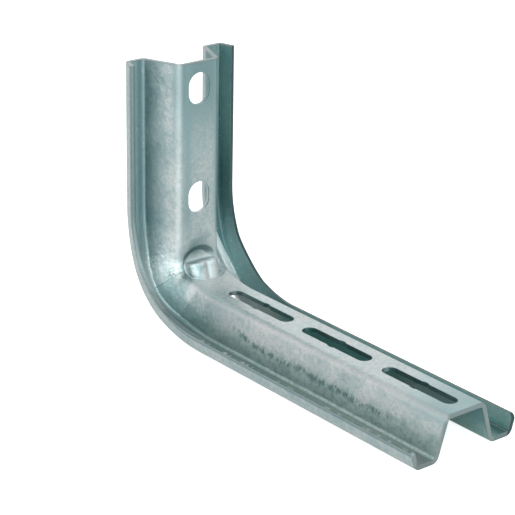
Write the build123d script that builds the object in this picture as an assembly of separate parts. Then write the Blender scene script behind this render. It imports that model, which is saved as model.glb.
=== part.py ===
from build123d import *
from math import atan2, cos, radians, sin, sqrt, tan
import os

# A cantilever strut arm folded from one strip of galvanised sheet.
# x runs along the arm away from the wall, y across it and z up. The flanges of the
# upright touch the wall plane x = 0, and the flanges of the arm have their underside at z = 0.
# The room side of the sheet is the one that faces into the corner of the L.

# Sheet
sheet = 2.0
fold_inside_radius = 1.5

# Section: web, sloped legs, outward flanges and turned-up lips
web_half_width = 10.5        # to the sharp corner of web and leg, room side
upright_depth = 19.5         # wall plane to the room side of the web
arm_depth = 19.25            # flange underside to the top of the web
upright_leg_slope = 21.0     # degrees away from square to the web
arm_leg_slope = 17.0
flange_half_width = 26.0     # to the sharp corner of flange and lip, wall side
lip_lean = 16.5              # degrees outward
upright_lip = 8.0            # length of the lip along its slope
arm_lip = 8.75
lip_end_radius = 2.5         # rounded lip corners at the tip of the arm

# Length
upright_height = 118.5
arm_length = 190.5

# Bend: the flanges follow a wide, a tight and again a wide arc
wide_bend_radius = 75.0
tight_bend_radius = 38.5
wide_bend_angle = 20.0       # degrees turned by each wide arc
web_corner_radius = 7.0      # inside corner of the web, room side
ramp_rise = 5.05             # the arm's web climbs by this to the corner
ramp_slope = 13.8            # degrees
ramp_radius = 50.0           # where the ramp runs out into the arm
foot_spread = 3.2            # the foot of each leg moves out in the middle of the bend
lip_growth = 2.0             # the lips stand higher in the middle of the bend
section_step = 5.0           # widest angle between two sections of the bend, degrees
shortest_stretch = 0.5       # a stretch of the bend that turns less is left out, degrees

# Wall holes: two slotted holes, one above the other
wall_hole_width = 11.5
wall_hole_length = 14.5
wall_hole_from_top = 12.0    # top of the upright to the centre of the upper hole
wall_hole_spacing = 50.0

# Arm slots: a row that starts at the tip, each a little wider in the middle
slot_width = 7.0
slot_length = 41.0
slot_eye_diameter = 8.2
slot_bridge = 9.0            # web left between two slots
slot_from_tip = 6.0          # tip of the arm to the end of the last slot

# Dent: the web is pressed back in its inside corner, and a double rib stands out in the dent
dent_radius = 8.3            # seen from the side
dent_half_width = 12.0       # across the arm, at its widest
dent_depth = 1.8
dent_to_upright = 5.75       # middle of the dent to the upright's web
dent_to_arm = 8.2            # middle of the dent to the arm's web
rib_radius = 5.0
rib_spacing = 5.8
rib_reach = 6.2              # crest of the rib at its top to the upright's web
rib_height = 9.75            # top of the rib to the arm's web
rib_tilt = 19.0              # degrees away from upright
rib_length = 14.0

# Worked out
fold_outside_radius = fold_inside_radius + sheet
turn = radians(wide_bend_angle)
bend_reach = wide_bend_radius - (wide_bend_radius - tight_bend_radius) * (cos(turn) - sin(turn))
upper_wall_hole = upright_height - wall_hole_from_top
slot_spacing = slot_length + slot_bridge
last_slot = arm_length - slot_from_tip - slot_length / 2
ramp_normal = Vector(sin(radians(ramp_slope)), cos(radians(ramp_slope)))
web_normals = [Vector(1, 0), ramp_normal, Vector(0, 1)]    # of upright, ramp and arm, in (x, z)
web_corner = Vector(upright_depth, arm_depth + ramp_rise)
web_offsets = [upright_depth, ramp_normal.dot(web_corner), arm_depth]
slot_count = int((arm_length - slot_from_tip - upright_depth) / slot_spacing)


def outer_path(angle):
    """Point (x, z) on the wall side of the flange where its normal has turned by this angle."""
    a = radians(angle)
    if angle <= wide_bend_angle:
        return (wide_bend_radius * (1 - cos(a)), bend_reach - wide_bend_radius * sin(a))
    if angle >= 90 - wide_bend_angle:
        return (bend_reach - wide_bend_radius * cos(a), wide_bend_radius * (1 - sin(a)))
    start_x, start_z = outer_path(wide_bend_angle)
    return (start_x + tight_bend_radius * (cos(turn) - cos(a)),
            start_z + tight_bend_radius * (sin(turn) - sin(a)))


def web_point(first, inset):
    """Where two neighbouring flats of the web would meet, both set back by the inset."""
    n, m = web_normals[first:first + 2]
    p, q = (offset - inset for offset in web_offsets[first:first + 2])
    size = n.cross(m).Z
    return Vector((p * m.Y - q * n.Y) / size, (n.X * q - m.X * p) / size)


web_rounds = [(0, web_corner_radius, web_point(0, -web_corner_radius)),
              (1, ramp_radius, web_point(1, -ramp_radius))]


def web_distance(angle, inset):
    """Distance along the flange's normal to the surface that lies this inset behind the web."""
    start = Vector(*outer_path(angle))
    along = Vector(cos(radians(angle)), sin(radians(angle)))
    distance = max((offset - inset - normal.dot(start)) / normal.dot(along)
                   for normal, offset in zip(web_normals, web_offsets) if normal.dot(along) > 1e-9)
    for first, radius, centre in web_rounds:
        inner = centre - start - along * distance
        if web_normals[first].cross(inner).Z > 0 > web_normals[first + 1].cross(inner).Z:
            to_centre = centre - start
            middle = to_centre.dot(along)
            return middle - sqrt(middle ** 2 - to_centre.length ** 2 + (radius + inset) ** 2)
    return distance


def section(angle):
    """Outline of the sheet across the bend at this angle, from 0 upright to 90 along the arm."""
    share = sin(radians(angle)) ** 2
    top = web_distance(angle, 0)
    under = web_distance(angle, sheet)
    upright_foot = web_half_width + (upright_depth - sheet) * tan(radians(upright_leg_slope))
    arm_foot = web_half_width + (arm_depth - sheet) * tan(radians(arm_leg_slope))
    middle_share = sin(radians(2 * angle)) ** 2
    foot = upright_foot + (arm_foot - upright_foot) * share + foot_spread * middle_share
    slope = atan2(foot - web_half_width, top - sheet)
    leg_across = sheet / cos(slope)
    lip = upright_lip + (arm_lip - upright_lip) * share + lip_growth * middle_share
    lean = radians(lip_lean)
    lip_edge = (flange_half_width + lip * sin(lean), lip * cos(lean))
    room_side = [
        (lip_edge[0] - sheet * cos(lean), lip_edge[1] + sheet * sin(lean)),
        (flange_half_width + sheet * tan(lean) - sheet / cos(lean), sheet),
        (foot, sheet),
        (web_half_width, top)]
    wall_side = [
        lip_edge,
        (flange_half_width, 0),
        (foot + sheet * tan(slope) - leg_across, 0),
        (web_half_width + (top - under) * tan(slope) - leg_across, under)]
    room_radii = [fold_inside_radius, fold_inside_radius, fold_outside_radius]
    wall_radii = [fold_outside_radius, fold_outside_radius, fold_inside_radius]
    edges = []
    for half, radii in ((room_side, room_radii), (wall_side, wall_radii)):
        other_half = [(-y, depth) for y, depth in reversed(half)]
        edges += FilletPolyline(*half, *other_half, radius=radii + radii[::-1]).edges()
    for s in (1, -1):
        edges += Line((s * room_side[0][0], room_side[0][1]),
                      (s * wall_side[0][0], wall_side[0][1])).edges()
    x, z = outer_path(angle)
    plane = Plane(origin=(x, 0, z), x_dir=(0, 1, 0),
                  z_dir=(sin(radians(angle)), 0, -cos(radians(angle))))
    return plane * Face(Wire(edges))


def angle_through(point):
    """Angle of the section that passes through this point of the web."""
    low, high = 0, 90
    while high - low > 1e-6:
        angle = (low + high) / 2
        along = Vector(cos(radians(angle)), sin(radians(angle)))
        if along.cross(point - Vector(*outer_path(angle))).Z < 0:
            low = angle
        else:
            high = angle
    return angle


def bend_stops():
    """Angles at which the flange or the web goes over from one arc or flat to the next."""
    stops = [wide_bend_angle, 90 - wide_bend_angle]
    for first, radius, centre in web_rounds:
        for normal in web_normals[first:first + 2]:
            stops += [angle_through(centre - normal * (radius + inset)) for inset in (0, sheet)]
    kept = [0]
    for stop in sorted(stops):
        if min(stop - kept[-1], 90 - stop) > shortest_stretch:
            kept.append(stop)
    return kept + [90]


def bend():
    """The curved stretch, lofted piece by piece through sections that turn with the bend."""
    stops = bend_stops()
    pieces = Part()
    for start, end in zip(stops, stops[1:]):
        steps = int((end - start) / section_step) + 1
        outlines = [section(start + (end - start) * i / steps).outer_wire() for i in range(steps + 1)]
        pieces += Solid.make_loft(outlines)
    return pieces


def upright():
    return extrude(section(0), amount=bend_reach - upright_height)


def arm():
    """The straight arm with the lip corners at its tip rounded."""
    bar = extrude(section(90), amount=arm_length - bend_reach)
    tip_edges = bar.faces().sort_by(Axis.X)[-1].edges().filter_by(GeomType.LINE)
    lip_ends = tip_edges.filter_by(lambda edge: abs(edge.length - sheet) < 1e-6)
    return fillet(lip_ends, lip_end_radius)


def wall_holes():
    hole = Rot(0, 0, 90) * SlotOverall(wall_hole_length, wall_hole_width)
    face = Plane.YZ.offset(upright_depth - 2 * sheet)
    cuts = Part()
    for i in range(2):
        centre = Pos(0, upper_wall_hole - i * wall_hole_spacing)
        cuts += extrude(face * centre * hole, amount=3 * sheet)
    return cuts


def arm_slots():
    slot = SlotOverall(slot_length, slot_width) + Circle(slot_eye_diameter / 2)
    face = Plane.XY.offset(arm_depth - 2 * sheet)
    cuts = Part()
    for i in range(slot_count):
        cuts += extrude(face * Pos(last_slot - i * slot_spacing, 0) * slot, amount=3 * sheet)
    return cuts


def in_front_of_web(inset):
    """All the room in the corner of the L, down to the surface this inset behind the web."""
    corner, ramp_end = web_point(0, inset), web_point(1, inset)
    outline = FilletPolyline((corner.X, bend_reach), corner, ramp_end, (bend_reach, ramp_end.Y),
                             (bend_reach, bend_reach), close=True,
                             radius=[0, web_corner_radius + inset, ramp_radius + inset, 0, 0])
    return extrude(Plane.XZ * Face(Wire(outline.edges())), amount=flange_half_width, both=True)


def dent_form(margin):
    """Rounded form, longest across the arm, that marks off the dent."""
    half = EllipticalCenterArc((0, 0), dent_half_width + margin, dent_radius + margin, arc_size=180)
    form = revolve(make_face(half.edges() + Line(half @ 1, half @ 0).edges()), Axis.X)
    return Pos(upright_depth + dent_to_upright, 0, arm_depth + dent_to_arm) * Rot(0, 0, 90) * form


def double_rib(inset):
    """Two round ribs side by side, drawn out to the back; without inset their top edge is rounded."""
    radius = rib_radius - inset
    crest = Pos(upright_depth + rib_reach, 0, arm_depth + rib_height)
    down = crest * Rot(0, -rib_tilt, 0) * Pos(-rib_radius, 0, -inset) * Rot(0, 0, 90)
    outline = Circle(radius) + Pos(0, 2 * sheet) * Rectangle(2 * radius, 4 * sheet)
    bars = Part()
    for s in (1, -1):
        bar = extrude(outline, amount=inset - rib_length)
        if inset < sheet:
            bar = fillet(bar.faces().sort_by(Axis.Z)[-1].edges(), sheet - inset)
        bars += down * Pos(s * rib_spacing / 2, 0) * bar
    return bars


def strut_arm():
    body = upright() + bend() + arm()
    behind = in_front_of_web(sheet + dent_depth) - in_front_of_web(sheet / 2)
    body += behind & dent_form(sheet)
    body -= in_front_of_web(dent_depth) & dent_form(0)
    body += double_rib(0) & in_front_of_web(dent_depth + sheet / 2)
    body -= double_rib(sheet)
    return body - wall_holes() - arm_slots()


os.makedirs("parts", exist_ok=True)
export_step(strut_arm(), "parts/strut_arm.step")
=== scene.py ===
from math import cos, radians, sin
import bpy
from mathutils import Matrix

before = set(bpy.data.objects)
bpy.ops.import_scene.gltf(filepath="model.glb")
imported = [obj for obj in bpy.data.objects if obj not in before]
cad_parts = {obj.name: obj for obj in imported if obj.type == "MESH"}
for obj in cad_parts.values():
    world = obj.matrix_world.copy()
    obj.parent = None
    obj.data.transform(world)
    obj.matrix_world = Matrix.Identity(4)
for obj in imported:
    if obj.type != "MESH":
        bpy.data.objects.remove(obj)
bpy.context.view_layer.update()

from types import SimpleNamespace

import bpy
from mathutils import Matrix, Vector

scene = bpy.context.scene
armNode = "strut_arm"


# Small helpers for node trees
def newMaterial(name):
    material = bpy.data.materials.new(name)
    material.use_nodes = True
    material.node_tree.nodes.clear()
    return material, material.node_tree


def setSockets(tree, pairs):
    for socket, value in pairs:
        if isinstance(value, bpy.types.NodeSocket):
            tree.links.new(value, socket)
        else:
            socket.default_value = value


def addNode(tree, kind, inputs=None, **settings):
    node = tree.nodes.new(kind)
    for key, value in settings.items():
        setattr(node, key, value)
    setSockets(tree, [(node.inputs[key], value) for key, value in (inputs or {}).items()])
    return node


def calc(tree, operation, first, second=0.0, third=0.0):
    node = addNode(tree, "ShaderNodeMath", {0: first, 1: second, 2: third}, operation=operation)
    return node.outputs[0]


def times(tree, *values):
    result = values[0]
    for value in values[1:]:
        result = calc(tree, "MULTIPLY", result, value)
    return result


def most(tree, *values):
    result = values[0]
    for value in values[1:]:
        result = calc(tree, "MAXIMUM", result, value)
    return result


def inverse(tree, value):
    return calc(tree, "SUBTRACT", 1.0, value)


def ramp(tree, value, low, high, newLow=0.0, newHigh=1.0):
    node = addNode(tree, "ShaderNodeMapRange",
                   {"Value": value, "From Min": low, "From Max": high, "To Min": newLow, "To Max": newHigh},
                   interpolation_type="SMOOTHSTEP")
    return node.outputs["Result"]


def hill(tree, value, middle, halfWidth):    # 1 at the middle, 0 beyond the half width
    away = calc(tree, "ABSOLUTE", calc(tree, "SUBTRACT", value, middle))
    return ramp(tree, away, 0.0, halfWidth, 1.0, 0.0)


def noise(tree, place, scale, detail=3.0, roughness=0.6):
    return addNode(tree, "ShaderNodeTexNoise",
                   {"Vector": place, "Scale": scale, "Detail": detail, "Roughness": roughness}).outputs[0]


def waver(tree, value, pattern, size):       # lets a noise pattern shift the value by up to half the size
    return calc(tree, "MULTIPLY_ADD", pattern, size, calc(tree, "SUBTRACT", value, size / 2))


def vector(tree, x, y, z):
    return addNode(tree, "ShaderNodeCombineXYZ", {0: x, 1: y, 2: z}).outputs[0]


def distance(tree, first, second):
    return addNode(tree, "ShaderNodeVectorMath", {0: first, 1: second}, operation="DISTANCE").outputs["Value"]


def blend(tree, share, first, second):
    node = addNode(tree, "ShaderNodeMix", data_type="RGBA")
    setSockets(tree, ((node.inputs[0], share), (node.inputs[6], first), (node.inputs[7], second)))
    return node.outputs[2]


# The camera stands where the photographer stood, a little off level
camera = dict(
    spot=(0.6828, -0.5085, 0.3606),
    azimuth=50.72, pitch=21.70, roll=0.97,   # degrees
    lens=140.4, sensor=36.0, nearest=0.01, furthest=20,
)


def makeCamera():
    data = bpy.data.cameras.new("camera")
    data.lens, data.sensor_width = camera["lens"], camera["sensor"]
    data.clip_start, data.clip_end = camera["nearest"], camera["furthest"]
    a, p, r = (radians(camera[key]) for key in ("azimuth", "pitch", "roll"))
    back = Vector((sin(a) * cos(p), -cos(a) * cos(p), sin(p)))
    level = Vector((cos(a), sin(a), 0))
    up = back.cross(level)
    right = cos(r) * level + sin(r) * up
    top = -sin(r) * level + cos(r) * up
    turned = Matrix((right, top, back)).transposed().to_4x4()
    body = bpy.data.objects.new("camera", data)
    body.matrix_world = Matrix.Translation(camera["spot"]) @ turned
    scene.collection.objects.link(body)
    scene.camera = body


# Galvanised zinc on folded sheet, in metres. Across is measured from the middle of the sheet, depth from the
# wall side of the flanges, and along runs down the upright to 0 in the bend and then out on the arm.
# Tuples are for ramp (none, full, and the shares there), hill (middle, half width) or noise (scale, detail, roughness).
tones = dict(
    plain=(0.66, 0.695, 0.69, 1),
    cool=(0.34, 0.495, 0.51, 1),             # cloudy patches and the ends of the web; painted shade on the legs near their feet, past the turn, in the near trough and along the web's edges
    dark=(0.14, 0.25, 0.26, 1),              # short strokes, specks, spots and the top of the web; painted shade in creases, troughs, the dent, the far lip and along edges
    bright=(0.92, 0.93, 0.92, 1),            # scratches down to fresh zinc, spots, and painted highlights on the bend, the far wedge and along the near fold
    grey=(0.30, 0.345, 0.340, 1),            # cut ends, and painted shade in the near trough from the bend on
    deepShade=(0.050, 0.110, 0.112, 1),           # painted shade on the cut end of the far lip
    inner=(0.19, 0.40, 0.392, 1),            # painted shade in the far trough, on the inner side of the far lip and in patches at the foot on the arm
    slot=(0.15, 0.52, 0.485, 1),             # painted shade inside the channel of the arm
    foot=(0.52, 0.65, 0.61, 1),              # painted shade at the foot of the leg on the arm
    rim=(0.185, 0.265, 0.240, 1),            # painted shade round the cut end of the near lip on the arm, over its edge highlights
)
sheet = dict(
    bendReach=0.0532, bendSlack=0.003,       # where the flanges start to turn, and how far off a circle they run
    smallest=0.00001,                        # keeps the turn from a division by nothing past the bend
    footLine=0.0170, footSpread=0.0032,      # foot of a leg on the straights, and its spread in the bend
    farSpread=-0.0038,                       # the far foot shows further out
    legFoot=(0.0018, 0.0), legTop=(0.0195, 0.0175), nearLeg=(-0.009, -0.0105),   # from here on, edges of masks
    lip=(0.0236, 0.0246), lipOutside=(0.0262, 0.0250), flange=(0.0045, 0.0025),
    web=(0.0125, 0.0110), fold=(0.0140, 0.0128),
    far=(-0.002, 0.002), upright=(0.0, -0.03), arm=(0.0, 0.05),
)
grains = dict(                               # scale, detail and roughness of each noise
    clouds=(70, 4), mottle=(560, 3, 0.7), grain=(1600, 2, 0.6), fleck=(330, 3, 0.7), fleckStretch=4.0,
)


def bendPlace(tree, x, z):    # depth, and how far the flange has turned: 0 on the straights, 1 at 45 degrees
    dx, dz = (most(tree, calc(tree, "SUBTRACT", sheet["bendReach"], part), sheet["smallest"]) for part in (x, z))
    size = calc(tree, "SQRT", calc(tree, "ADD", times(tree, dx, dx), times(tree, dz, dz)))
    turned = calc(tree, "DIVIDE", times(tree, dx, dz, 2.0), times(tree, size, size))
    turned = times(tree, turned, turned)
    reach = calc(tree, "MULTIPLY_ADD", turned, sheet["bendSlack"], sheet["bendReach"])
    return calc(tree, "SUBTRACT", reach, size), turned


def readPlaces(tree):
    place = addNode(tree, "ShaderNodeTexCoord").outputs
    at = SimpleNamespace(spot=place["Object"])
    at.x, at.y, at.z = addNode(tree, "ShaderNodeSeparateXYZ", {0: at.spot}).outputs
    at.faceX, at.faceY, at.faceZ = addNode(tree, "ShaderNodeSeparateXYZ", {0: place["Normal"]}).outputs
    at.along = calc(tree, "SUBTRACT", at.x, at.z)
    at.across = calc(tree, "ABSOLUTE", at.y)
    at.depth, at.turned = bendPlace(tree, at.x, at.z)
    foot = calc(tree, "MULTIPLY_ADD", at.turned, sheet["footSpread"], sheet["footLine"])
    at.pastFoot = calc(tree, "SUBTRACT", at.across, foot)
    at.pastFarFoot = calc(tree, "MULTIPLY_ADD", at.turned, sheet["farSpread"], at.pastFoot)

    at.far = ramp(tree, at.y, *sheet["far"])
    at.near = inverse(tree, at.far)
    at.onUpright = ramp(tree, at.along, *sheet["upright"])
    at.onArm = ramp(tree, at.along, *sheet["arm"])
    at.onLip = ramp(tree, at.across, *sheet["lip"])
    at.onWeb = ramp(tree, at.across, *sheet["web"])
    at.onFold = ramp(tree, at.across, *sheet["fold"])
    at.onFlange = times(tree, ramp(tree, at.depth, *sheet["flange"]), ramp(tree, at.across, *sheet["lipOutside"]))
    at.onLeg = times(tree, ramp(tree, at.pastFoot, *sheet["legFoot"]), ramp(tree, at.depth, *sheet["legTop"]))
    at.nearLeg = times(tree, at.onLeg, ramp(tree, at.y, *sheet["nearLeg"]))

    at.clouds, at.mottle, at.grain = (noise(tree, at.spot, *grains[key]) for key in ("clouds", "mottle", "grain"))
    stretched = vector(tree, at.along, times(tree, at.y, grains["fleckStretch"]), 0.0)
    at.fleck = noise(tree, stretched, *grains["fleck"])
    return at


# Each function below gives layers of tone, a share and a colour each, in the order they are laid on.
# Some keep a mask in at for the layers that come after.
ground = dict(
    coolClouds=(0.38, 0.66, 0.0, 0.40), coolMottle=(0.44, 0.66, 0.0, 0.45),
    brightMottle=(0.44, 0.28, 0.0, 0.25), coolGrain=(0.50, 0.68, 0.0, 0.40),
)


def groundLayers(tree, at):
    return [
        (ramp(tree, at.clouds, *ground["coolClouds"]), tones["cool"]),
        (ramp(tree, at.mottle, *ground["coolMottle"]), tones["cool"]),
        (ramp(tree, at.mottle, *ground["brightMottle"]), tones["bright"]),
        (ramp(tree, at.grain, *ground["coolGrain"]), tones["cool"]),
    ]


# Painted shade on the legs: cool at the foot, patchy on the arm, and cool again past the turn on the near side
legs = dict(
    uprightFoot=0.0128, armFoot=0.0100, footChange=(-0.02, 0.05), footWaver=0.008, footSoft=0.0022,
    uprightShare=0.3, armShare=0.70,
    patches=(480, 4, 0.75), patchShare=(0.48, 0.60, 0.0, 0.45), patchStart=(0.0, 0.04),
    turn=(-0.0033, -0.0013), turnEnd=(0.062, 0.015), turnShare=0.85, turnGrain=(0.62, 0.50),
)


def legLayers(tree, at):
    edge = ramp(tree, at.along, *legs["footChange"], legs["uprightFoot"], legs["armFoot"])
    edge = waver(tree, edge, at.clouds, legs["footWaver"])
    low = ramp(tree, calc(tree, "SUBTRACT", at.depth, edge), legs["footSoft"], -legs["footSoft"])
    low = times(tree, low, at.onLeg)
    footShare = ramp(tree, at.onArm, 0.0, 1.0, legs["uprightShare"], legs["armShare"])
    footTone = blend(tree, at.onArm, tones["cool"], tones["foot"])
    patches = ramp(tree, noise(tree, at.spot, *legs["patches"]), *legs["patchShare"])
    at.pastTurn = times(tree, ramp(tree, at.along, *legs["turn"]), ramp(tree, at.along, *legs["turnEnd"]),
                        at.nearLeg, legs["turnShare"])
    return [
        # painted shade at the feet, in patches at the foot on the arm, and past the turn
        (times(tree, low, footShare), footTone),
        (times(tree, low, patches, ramp(tree, at.along, *legs["patchStart"])), tones["inner"]),
        (times(tree, at.pastTurn, ramp(tree, at.grain, *legs["turnGrain"])), tones["cool"]),
    ]


# Painted shade in the troughs beside the legs and in dark lines at the foot of the near leg, and a painted highlight as
# a bright wedge on the far side of the bend
troughs = dict(
    near=(-0.001, 0.001), nearShare=0.90, greyStart=(-0.05, -0.02),
    line=(0.0026, 0.0018), lineDepth=(0.0035, 0.0025), lineShare=0.45,
    foot=(0.0070, 0.0040), footShare=0.28,
    wedge=(0.0006, -0.0006), wedgeDepth=(0.012, 0.007), wedgeTurn=(0.2, 0.6),
    far=(-0.0006, 0.0006), farShare=0.85, farClimb=(0.110, 0.075, 0.65, 1.0), farDark=(0.095, 0.045, 0.0, 0.75),
)


def troughLayers(tree, at):
    nearTrough = times(tree, at.onFlange, ramp(tree, at.pastFoot, *troughs["near"]), at.near, troughs["nearShare"])
    nearTone = blend(tree, ramp(tree, at.along, *troughs["greyStart"]), tones["cool"], tones["grey"])
    besideFoot = times(tree, hill(tree, at.pastFoot, *troughs["line"]), ramp(tree, at.depth, *troughs["lineDepth"]),
                       at.onUpright, troughs["lineShare"])
    atFoot = times(tree, ramp(tree, at.depth, *troughs["foot"]), at.nearLeg, at.onUpright, troughs["footShare"])
    wedge = times(tree, ramp(tree, at.pastFarFoot, *troughs["wedge"]), ramp(tree, at.depth, *troughs["wedgeDepth"]),
                  at.far, ramp(tree, at.turned, *troughs["wedgeTurn"]))
    at.farTrough = times(tree, at.onFlange, ramp(tree, at.pastFarFoot, *troughs["far"]), at.far,
                         ramp(tree, at.z, *troughs["farClimb"]), troughs["farShare"])
    return [
        # painted shade in both troughs and at the foot, painted highlight on the wedge
        (nearTrough, nearTone),
        (most(tree, besideFoot, atFoot), tones["dark"]),
        (wedge, tones["bright"]),
        (at.farTrough, tones["inner"]),
        (times(tree, at.farTrough, ramp(tree, at.z, *troughs["farDark"])), tones["dark"]),
    ]


# The web is painted darker towards both its ends, with painted shade along its near and far edges and the far fold
web = dict(
    top=(0.072, 0.108), tip=(0.150, 0.190), endShare=0.88, topDark=(0.076, 0.112, 0.0, 0.35),
    farEdge=(0.0065, 0.0100), farShare=0.90, farEnd=(0.050, 0.030), farFold=(0.0088, 0.0098), foldShare=0.7,
    nearEdge=(-0.0062, 0.0038), nearDepth=(0.0170, 0.0180), nearShare=0.7,
)


def webLayers(tree, at):
    ends = most(tree, ramp(tree, at.z, *web["top"]), ramp(tree, at.x, *web["tip"]))
    farPart = times(tree, ramp(tree, at.x, *web["farEnd"]), at.onFold)
    nearEdge = times(tree, hill(tree, at.y, *web["nearEdge"]), ramp(tree, at.depth, *web["nearDepth"]),
                     at.onUpright, web["nearShare"])
    return [
        (times(tree, ends, at.onWeb, web["endShare"]), tones["cool"]),
        (times(tree, ramp(tree, at.z, *web["topDark"]), at.onWeb), tones["dark"]),
        # painted shade along the far edge, the near edge and the far fold
        (times(tree, ramp(tree, at.y, *web["farEdge"]), farPart, web["farShare"]), tones["cool"]),
        (nearEdge, tones["cool"]),
        (times(tree, ramp(tree, at.y, *web["farFold"]), farPart, web["foldShare"]), tones["dark"]),
    ]


# Painted highlight in patches across the bend, and painted shade on the dent's upper wall, above its ribs and beside
# them
bend = dict(
    above=(-0.032, -0.012), below=(0.032, 0.010), depth=(0.008, 0.011), clouds=(0.62, 0.45), share=0.5,
    wallDown=(0.0, -0.3), wallOut=(0.4, 0.6), wallTop=(0.055, 0.048), wallShare=0.6,
    shadeWaver=0.006, shadeDepth=(0.012, 0.014), shadeShare=0.95,
    shadeAbove=(-0.0105, 0.0088), shadeWidth=(-0.0015, 0.0130),
    shadeBeside=(-0.0020, 0.0110), shadeEdge=(-0.0112, 0.0035), besideShare=0.8,
)


def bendLayers(tree, at):
    paintedBendHighlight = times(tree, ramp(tree, at.along, *bend["above"]), ramp(tree, at.along, *bend["below"]),
                   ramp(tree, at.depth, *bend["depth"]), ramp(tree, at.clouds, *bend["clouds"]), bend["share"])
    wall = times(tree, ramp(tree, at.faceZ, *bend["wallDown"]), ramp(tree, at.faceX, *bend["wallOut"]),
                 at.onWeb, ramp(tree, at.z, *bend["wallTop"]), bend["wallShare"])
    place = waver(tree, at.along, at.clouds, bend["shadeWaver"])
    above = times(tree, hill(tree, place, *bend["shadeAbove"]), hill(tree, at.y, *bend["shadeWidth"]))
    beside = times(tree, hill(tree, place, *bend["shadeBeside"]), hill(tree, at.y, *bend["shadeEdge"]),
                   bend["besideShare"])
    paintedDentShade = times(tree, most(tree, above, beside), ramp(tree, at.depth, *bend["shadeDepth"]), bend["shadeShare"])
    # painted highlight on the bend, painted shade on the dent's upper wall and above and beside its ribs
    return [(paintedBendHighlight, tones["bright"]), (wall, tones["dark"]), (paintedDentShade, tones["dark"])]


# Painted shade inside the channel: legs that face each other, the back of the web, and the far lip
inside = dict(
    inward=(0.15, 0.45), channel=(0.0012, 0.0), start=(0.020, 0.035),
    backward=(-0.2, -0.5), backDepth=(0.010, 0.014),
    firstSlot=(0.045, 0.080, 0.0, 0.8), lastSlot=(0.125, 0.155, 0.8, 0.25),
    lipShare=0.68, lipBend=(0.090, 0.050), lipBendEnd=(0.060, 0.045),
)


def insideLayers(tree, at):
    inward = ramp(tree, times(tree, at.faceY, calc(tree, "SIGN", at.y), -1.0), *inside["inward"])
    at.farLip = times(tree, inward, at.onLip, at.far, inside["lipShare"])
    inChannel = times(tree, inward, ramp(tree, at.pastFoot, *inside["channel"]), ramp(tree, at.x, *inside["start"]))
    backward = ramp(tree, calc(tree, "MINIMUM", at.faceX, at.faceZ), *inside["backward"])
    backward = times(tree, backward, ramp(tree, at.depth, *inside["backDepth"]))
    uneven = calc(tree, "MINIMUM", ramp(tree, at.x, *inside["firstSlot"]), ramp(tree, at.x, *inside["lastSlot"]))
    lipBend = times(tree, at.farLip, ramp(tree, at.z, *inside["lipBend"]), ramp(tree, at.x, *inside["lipBendEnd"]))
    return [
        # painted shade inside the channel and on the far lip
        (times(tree, most(tree, inChannel, backward), uneven), tones["slot"]),
        (at.farLip, tones["inner"]),
        (lipBend, tones["dark"]),
    ]


# Cut ends of the sheet: tops of the lips, edges of the holes, top of the upright and tip of the arm, with painted shade
# in dark lines along the edges, on the far lip's end and round the near lip's end on the arm
cuts = dict(
    facing=(0.50, 0.66), nearShare=0.75, farShare=1.0, farEndShade=0.9,
    outerLine=0.0281, outerGrowth=0.0006, outerHalf=0.0004, outerShare=0.7,
    innerLine=(0.0266, 0.0008), innerDepth=(0.0055, 0.0065), innerShare=0.8,
    holeSide=(0.4, 0.8), holeReach=(0.0075, 0.0065), holeDepth=(0.020, 0.030, 0.0186, 0.0165),
    holeLine=(0.0, 0.0004), holeShare=0.85,
    top=(0.1180, 0.1182), tip=(0.1900, 0.1902), endShare=0.7,
    rimStart=(0.045, 0.065), rim=(0.0078, 0.0082), rimShare=0.90,
)


def cutLayers(tree, at):
    lipEnd = times(tree, at.onLip, ramp(tree, most(tree, at.faceX, at.faceZ), *cuts["facing"]),
                   ramp(tree, at.far, 0.0, 1.0, cuts["nearShare"], cuts["farShare"]))
    sheetEnd = most(tree, ramp(tree, at.z, *cuts["top"]), ramp(tree, at.x, *cuts["tip"]))
    outerPlace = calc(tree, "MULTIPLY_ADD", at.turned, cuts["outerGrowth"], cuts["outerLine"])
    outerLine = times(tree, hill(tree, at.across, outerPlace, cuts["outerHalf"]), cuts["outerShare"])
    innerLine = times(tree, hill(tree, at.across, *cuts["innerLine"]), ramp(tree, at.depth, *cuts["innerDepth"]),
                      at.near, inverse(tree, at.onArm), cuts["innerShare"])
    pastEdge = calc(tree, "SUBTRACT", at.depth, ramp(tree, at.x, *cuts["holeDepth"]))
    holeLine = times(tree, ramp(tree, calc(tree, "ABSOLUTE", at.faceY), *cuts["holeSide"]),
                     ramp(tree, at.across, *cuts["holeReach"]), ramp(tree, pastEdge, *cuts["holeLine"]),
                     cuts["holeShare"])
    at.nearRim = times(tree, at.onLip, at.near, ramp(tree, at.x, *cuts["rimStart"]))
    return [
        (most(tree, lipEnd, times(tree, sheetEnd, cuts["endShare"])), tones["grey"]),
        # painted shade in lines along the lip's outer edge, round the holes and at the near lip's foot
        (most(tree, outerLine, holeLine, innerLine), tones["dark"]),
        # painted shade on the far lip's cut end
        (times(tree, lipEnd, at.far, cuts["farEndShade"]), tones["deepShade"]),
        # painted shade round the near lip's cut end on the arm, over its edge highlights
        (times(tree, at.nearRim, ramp(tree, at.z, *cuts["rim"]), cuts["rimShare"]), tones["rim"]),
    ]


# Short dark strokes in a band that wanders along the near leg of the arm
strokes = dict(
    height=(0.080, 0.056, 0.0083, 0.0123), wander=(60, 4), wanderSize=0.007, half=0.0030,
    grain=(950, 4, 0.75), squeeze=0.35, thick=(230, 2), thickBase=0.5, middleLift=0.16, shape=(0.57, 0.70),
    start=(0.055, 0.070), end=(0.172, 0.155), share=0.82,
)


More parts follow.
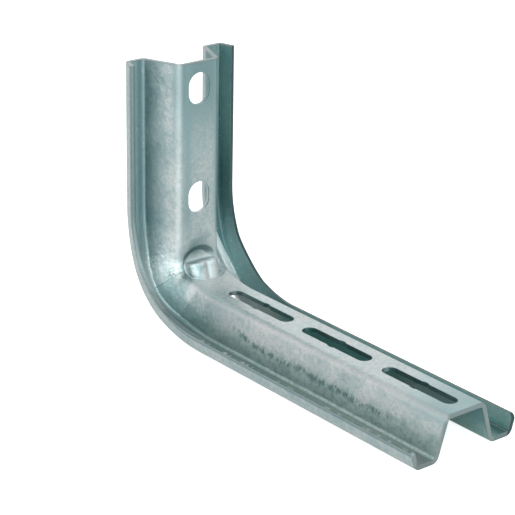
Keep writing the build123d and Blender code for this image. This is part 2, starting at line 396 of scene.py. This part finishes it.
def strokeLayers(tree, at):
    wander = noise(tree, vector(tree, at.x, 0.0, 0.0), *strokes["wander"])
    above = calc(tree, "SUBTRACT", waver(tree, at.z, wander, strokes["wanderSize"]),
                 ramp(tree, at.x, *strokes["height"]))
    band = hill(tree, above, 0.0, strokes["half"])
    upright = vector(tree, at.x, *(times(tree, part, strokes["squeeze"]) for part in (at.y, at.z)))
    thick = calc(tree, "ADD", noise(tree, at.spot, *strokes["thick"]), strokes["thickBase"])
    marks = calc(tree, "MULTIPLY_ADD", noise(tree, upright, *strokes["grain"]), thick,
                 times(tree, band, strokes["middleLift"]))
    marks = times(tree, ramp(tree, marks, *strokes["shape"]), band, at.nearLeg,
                  ramp(tree, at.x, *strokes["start"]), ramp(tree, at.x, *strokes["end"]), strokes["share"])
    return [(marks, tones["dark"])]


# Darker and lighter flaky spots on the near leg
legSpots = dict(
    wrinkled=dict(spot=(0.0178, -0.0140, 0.0225), reach=0.0065, tone="dark", share=0.75),
    bright=dict(spot=(0.0107, -0.0150, 0.0263), reach=0.0110, tone="bright", share=0.55),
    blot=dict(spot=(0.1332, -0.0120, 0.0142), reach=0.0050, tone="dark", share=0.45),
)
legSpotShape = dict(flakes=(800, 4, 0.75), flakeShare=(0.42, 0.58), mottle=0.9, outer=1.25, inner=0.55)


def legSpotLayers(tree, at):
    flakes = ramp(tree, noise(tree, at.spot, *legSpotShape["flakes"]), *legSpotShape["flakeShare"])
    layers = []
    for legSpot in legSpots.values():
        away = distance(tree, at.spot, legSpot["spot"])
        away = calc(tree, "MULTIPLY_ADD", at.mottle, legSpot["reach"] * legSpotShape["mottle"], away)
        share = ramp(tree, away, legSpot["reach"] * legSpotShape["outer"], legSpot["reach"] * legSpotShape["inner"], 0.0, legSpot["share"])
        layers.append((times(tree, share, at.nearLeg, flakes), tones[legSpot["tone"]]))
    return layers


# Painted shade as a fine dark line where the near leg has buckled in the bend, and a painted highlight along the near
# fold
creases = dict(
    wrinkle=(-0.0023, 0.0006), waver=(300, 2), waverSize=0.002, wrinkleTop=(0.016, 0.012), wrinkleShare=0.6,
    fold=(0.0102, 0.0018), foldSide=(0.0, -0.001), foldDepth=(0.0155, 0.0175), foldShare=0.35,
)


def creaseLayers(tree, at):
    bent = waver(tree, at.along, noise(tree, at.spot, *creases["waver"]), creases["waverSize"])
    wrinkle = times(tree, hill(tree, bent, *creases["wrinkle"]), at.nearLeg,
                    ramp(tree, at.depth, *creases["wrinkleTop"]), creases["wrinkleShare"])
    fold = times(tree, hill(tree, at.across, *creases["fold"]), ramp(tree, at.y, *creases["foldSide"]),
                 ramp(tree, at.depth, *creases["foldDepth"]), creases["foldShare"])
    # painted shade on the wrinkle, painted highlight along the near fold
    return [(wrinkle, tones["dark"]), (fold, tones["bright"])]


# Flecks of fresh zinc in the creases, bright sparks on the parts with painted shade, and dark specks here and there
flecks = dict(
    low=(0.006, 0.004), near=(0.0008, 0.0005), nearShape=(0.56, 0.68, 0.0, 0.5), nearEnd=(0.03, 0.0),
    far=(-0.0002, 0.0004), farTurn=(0.15, 0.40), farShape=(0.40, 0.50),
    rim=(0.0085, 0.00025), rimStreak=(170, 4, 0.7), rimShape=(0.48, 0.62), rimShare=(0.115, 0.080, 0.30, 0.75),
    sparks=(1300, 1, 0.5), sparkShape=(0.69, 0.75, 0.0, 0.55),
    specks=(1500, 1, 0.5), speckShape=(0.71, 0.77, 0.0, 0.5),
)


def fleckLayers(tree, at):
    low = ramp(tree, at.depth, *flecks["low"])
    nearCrease = times(tree, hill(tree, at.pastFoot, *flecks["near"]), low,
                       ramp(tree, at.fleck, *flecks["nearShape"]), ramp(tree, at.along, *flecks["nearEnd"]))
    farCrease = times(tree, hill(tree, at.pastFarFoot, *flecks["far"]), low, at.far,
                      ramp(tree, at.turned, *flecks["farTurn"]), ramp(tree, at.fleck, *flecks["farShape"]))
    streak = noise(tree, vector(tree, at.along, 0.0, 0.0), *flecks["rimStreak"])
    onRim = times(tree, at.nearRim, hill(tree, at.z, *flecks["rim"]), ramp(tree, streak, *flecks["rimShape"]),
                  ramp(tree, at.x, *flecks["rimShare"]))
    sparks = ramp(tree, noise(tree, at.spot, *flecks["sparks"]), *flecks["sparkShape"])
    specks = ramp(tree, noise(tree, at.spot, *flecks["specks"]), *flecks["speckShape"])
    return [
        (most(tree, nearCrease, farCrease, onRim), tones["bright"]),
        (times(tree, sparks, most(tree, at.farTrough, at.farLip, at.pastTurn)), tones["bright"]),
        (times(tree, specks, inverse(tree, at.onLip)), tones["dark"]),
    ]


# The pressed dent has no sharp edge and the folds only a slight one, and the zinc is faintly uneven
surface = dict(
    roughness=(0.35, 0.65, 0.48, 0.36),
    dentSpot=(0.0265, 0.0, 0.0275), dentEdge=(0.0150, 0.0120), edgeRadius=0.0003, dentRadius=0.0014, samples=6,
    grainHeight=0.00002, mottleHeight=0.00006, cloudHeight=0.0004,
)


def unevenNormal(tree, at):
    radius = ramp(tree, distance(tree, at.spot, surface["dentSpot"]), *surface["dentEdge"],
                  surface["edgeRadius"], surface["dentRadius"])
    normal = addNode(tree, "ShaderNodeBevel", {"Radius": radius}, samples=surface["samples"]).outputs[0]
    for pattern, height in ((at.grain, "grainHeight"), (at.mottle, "mottleHeight"), (at.clouds, "cloudHeight")):
        inputs = {"Height": pattern, "Strength": 1.0, "Distance": surface[height], "Normal": normal}
        normal = addNode(tree, "ShaderNodeBump", inputs).outputs[0]
    return normal


def zincMaterial():
    material, tree = newMaterial("galvanisedZinc")
    at = readPlaces(tree)
    # The layers lay painted shade and painted highlights over the zinc's own colour, grain and marks
    tone = tones["plain"]
    for makeLayers in (groundLayers, legLayers, troughLayers, webLayers, bendLayers, insideLayers, cutLayers,
                       strokeLayers, legSpotLayers, creaseLayers, fleckLayers):
        for share, colour in makeLayers(tree, at):
            tone = blend(tree, share, tone, colour)
    shader = addNode(tree, "ShaderNodeBsdfPrincipled", {
        "Base Color": tone, "Metallic": 1.0, "Roughness": ramp(tree, at.clouds, *surface["roughness"]),
        "Normal": unevenNormal(tree, at)})
    addNode(tree, "ShaderNodeOutputMaterial", {"Surface": shader.outputs[0]})
    return material


def dressArm():
    arm = bpy.data.objects[armNode]
    arm.data.materials.clear()
    arm.data.materials.append(zincMaterial())


# A pale floor and soft light: a wide lamp in front, and soft glows all round in the world
studio = dict(
    floorSize=3.0, floorDrop=0.0002,
    floorTone=(0.80, 0.80, 0.80, 1), white=(1, 1, 1, 1),
    floorGlow=0.80, floorShine=0.034,        # white to the camera, faint in the metal
    aim=(0.07, 0, 0.05),
    lampAzimuth=300, lampHeight=42, lampReach=1.6, lampSize=1.4, lampPower=8.0,
    lampTone=(1.0, 0.97, 0.95),
    glowTightness=6.0,
)
glows = dict(
    left=dict(azimuth=270, height=6, strength=1.9, tone=(1.06, 0.99, 0.97)),
    front=dict(azimuth=315, height=6, strength=1.4, tone=(0.75, 1.03, 1.12)),
    back=dict(azimuth=180, height=6, strength=1.35, tone=(1.02, 0.98, 1.0)),
    backRight=dict(azimuth=135, height=6, strength=0.8, tone=(1.05, 0.98, 0.97)),
    rightHigh=dict(azimuth=125, height=50, strength=0.50, tone=(0.95, 1.03, 1.03)),
    rightMiddle=dict(azimuth=50, height=38, strength=0.85, tone=(0.98, 1.02, 1.02)),
    rightLow=dict(azimuth=8, height=22, strength=0.62, tone=(1.0, 1.0, 0.98)),
    backHigh=dict(azimuth=200, height=42, strength=0.3, tone=(1.0, 1.0, 1.0)),
    farHigh=dict(azimuth=0, height=42, strength=0.25, tone=(0.6, 1.1, 1.15)),
)


def heading(azimuth, height):
    a, h = radians(azimuth), radians(height)
    return Vector((cos(a) * cos(h), sin(a) * cos(h), sin(h)))


def makeFloor():
    half = studio["floorSize"] / 2
    mesh = bpy.data.meshes.new("floor")
    corners = [(sx * half, sy * half, -studio["floorDrop"]) for sx, sy in ((-1, -1), (1, -1), (1, 1), (-1, 1))]
    mesh.from_pydata(corners, [], [(0, 1, 2, 3)])
    floor = bpy.data.objects.new("floor", mesh)
    scene.collection.objects.link(floor)
    material, tree = newMaterial("paleFloor")
    path = addNode(tree, "ShaderNodeLightPath").outputs
    shine = times(tree, path["Is Glossy Ray"], studio["floorShine"])
    strength = calc(tree, "MULTIPLY_ADD", path["Is Camera Ray"], studio["floorGlow"], shine)
    plain = addNode(tree, "ShaderNodeBsdfDiffuse", {"Color": studio["floorTone"]})
    glow = addNode(tree, "ShaderNodeEmission", {"Color": studio["white"], "Strength": strength})
    both = addNode(tree, "ShaderNodeAddShader", {0: plain.outputs[0], 1: glow.outputs[0]})
    addNode(tree, "ShaderNodeOutputMaterial", {"Surface": both.outputs[0]})
    mesh.materials.append(material)


def makeWorld():
    world = bpy.data.worlds.new("studio")
    world.use_nodes = True
    tree = world.node_tree
    tree.nodes.clear()
    way = addNode(tree, "ShaderNodeTexCoord").outputs["Generated"]
    total = (0, 0, 0)
    for glow in glows.values():
        facing = addNode(tree, "ShaderNodeVectorMath", {0: way, 1: heading(glow["azimuth"], glow["height"])},
                         operation="DOT_PRODUCT").outputs["Value"]
        power = calc(tree, "EXPONENT", times(tree, calc(tree, "SUBTRACT", facing, 1.0), studio["glowTightness"]))
        tone = [glow["strength"] * part for part in glow["tone"]]
        total = addNode(tree, "ShaderNodeVectorMath", {0: power, 1: tone, 2: total},
                        operation="MULTIPLY_ADD").outputs[0]
    soft = addNode(tree, "ShaderNodeBackground", {"Color": total, "Strength": 1.0})
    white = addNode(tree, "ShaderNodeBackground", {"Color": studio["white"], "Strength": 1.0})
    seen = addNode(tree, "ShaderNodeLightPath").outputs["Is Camera Ray"]
    pick = addNode(tree, "ShaderNodeMixShader", {0: seen, 1: soft.outputs[0], 2: white.outputs[0]})
    addNode(tree, "ShaderNodeOutputWorld", {"Surface": pick.outputs[0]})
    scene.world = world


def makeLamp():
    data = bpy.data.lights.new("frontLamp", "AREA")
    data.size, data.energy, data.color = studio["lampSize"], studio["lampPower"], studio["lampTone"]
    lamp = bpy.data.objects.new("frontLamp", data)
    away = heading(studio["lampAzimuth"], studio["lampHeight"])
    lamp.location = Vector(studio["aim"]) + studio["lampReach"] * away
    lamp.rotation_euler = away.to_track_quat("Z", "Y").to_euler()
    scene.collection.objects.link(lamp)


makeCamera()
print("camera set")
dressArm()
print("arm dressed")
makeFloor()
makeWorld()
makeLamp()
scene.view_settings.view_transform = "Standard"
print("studio lit")
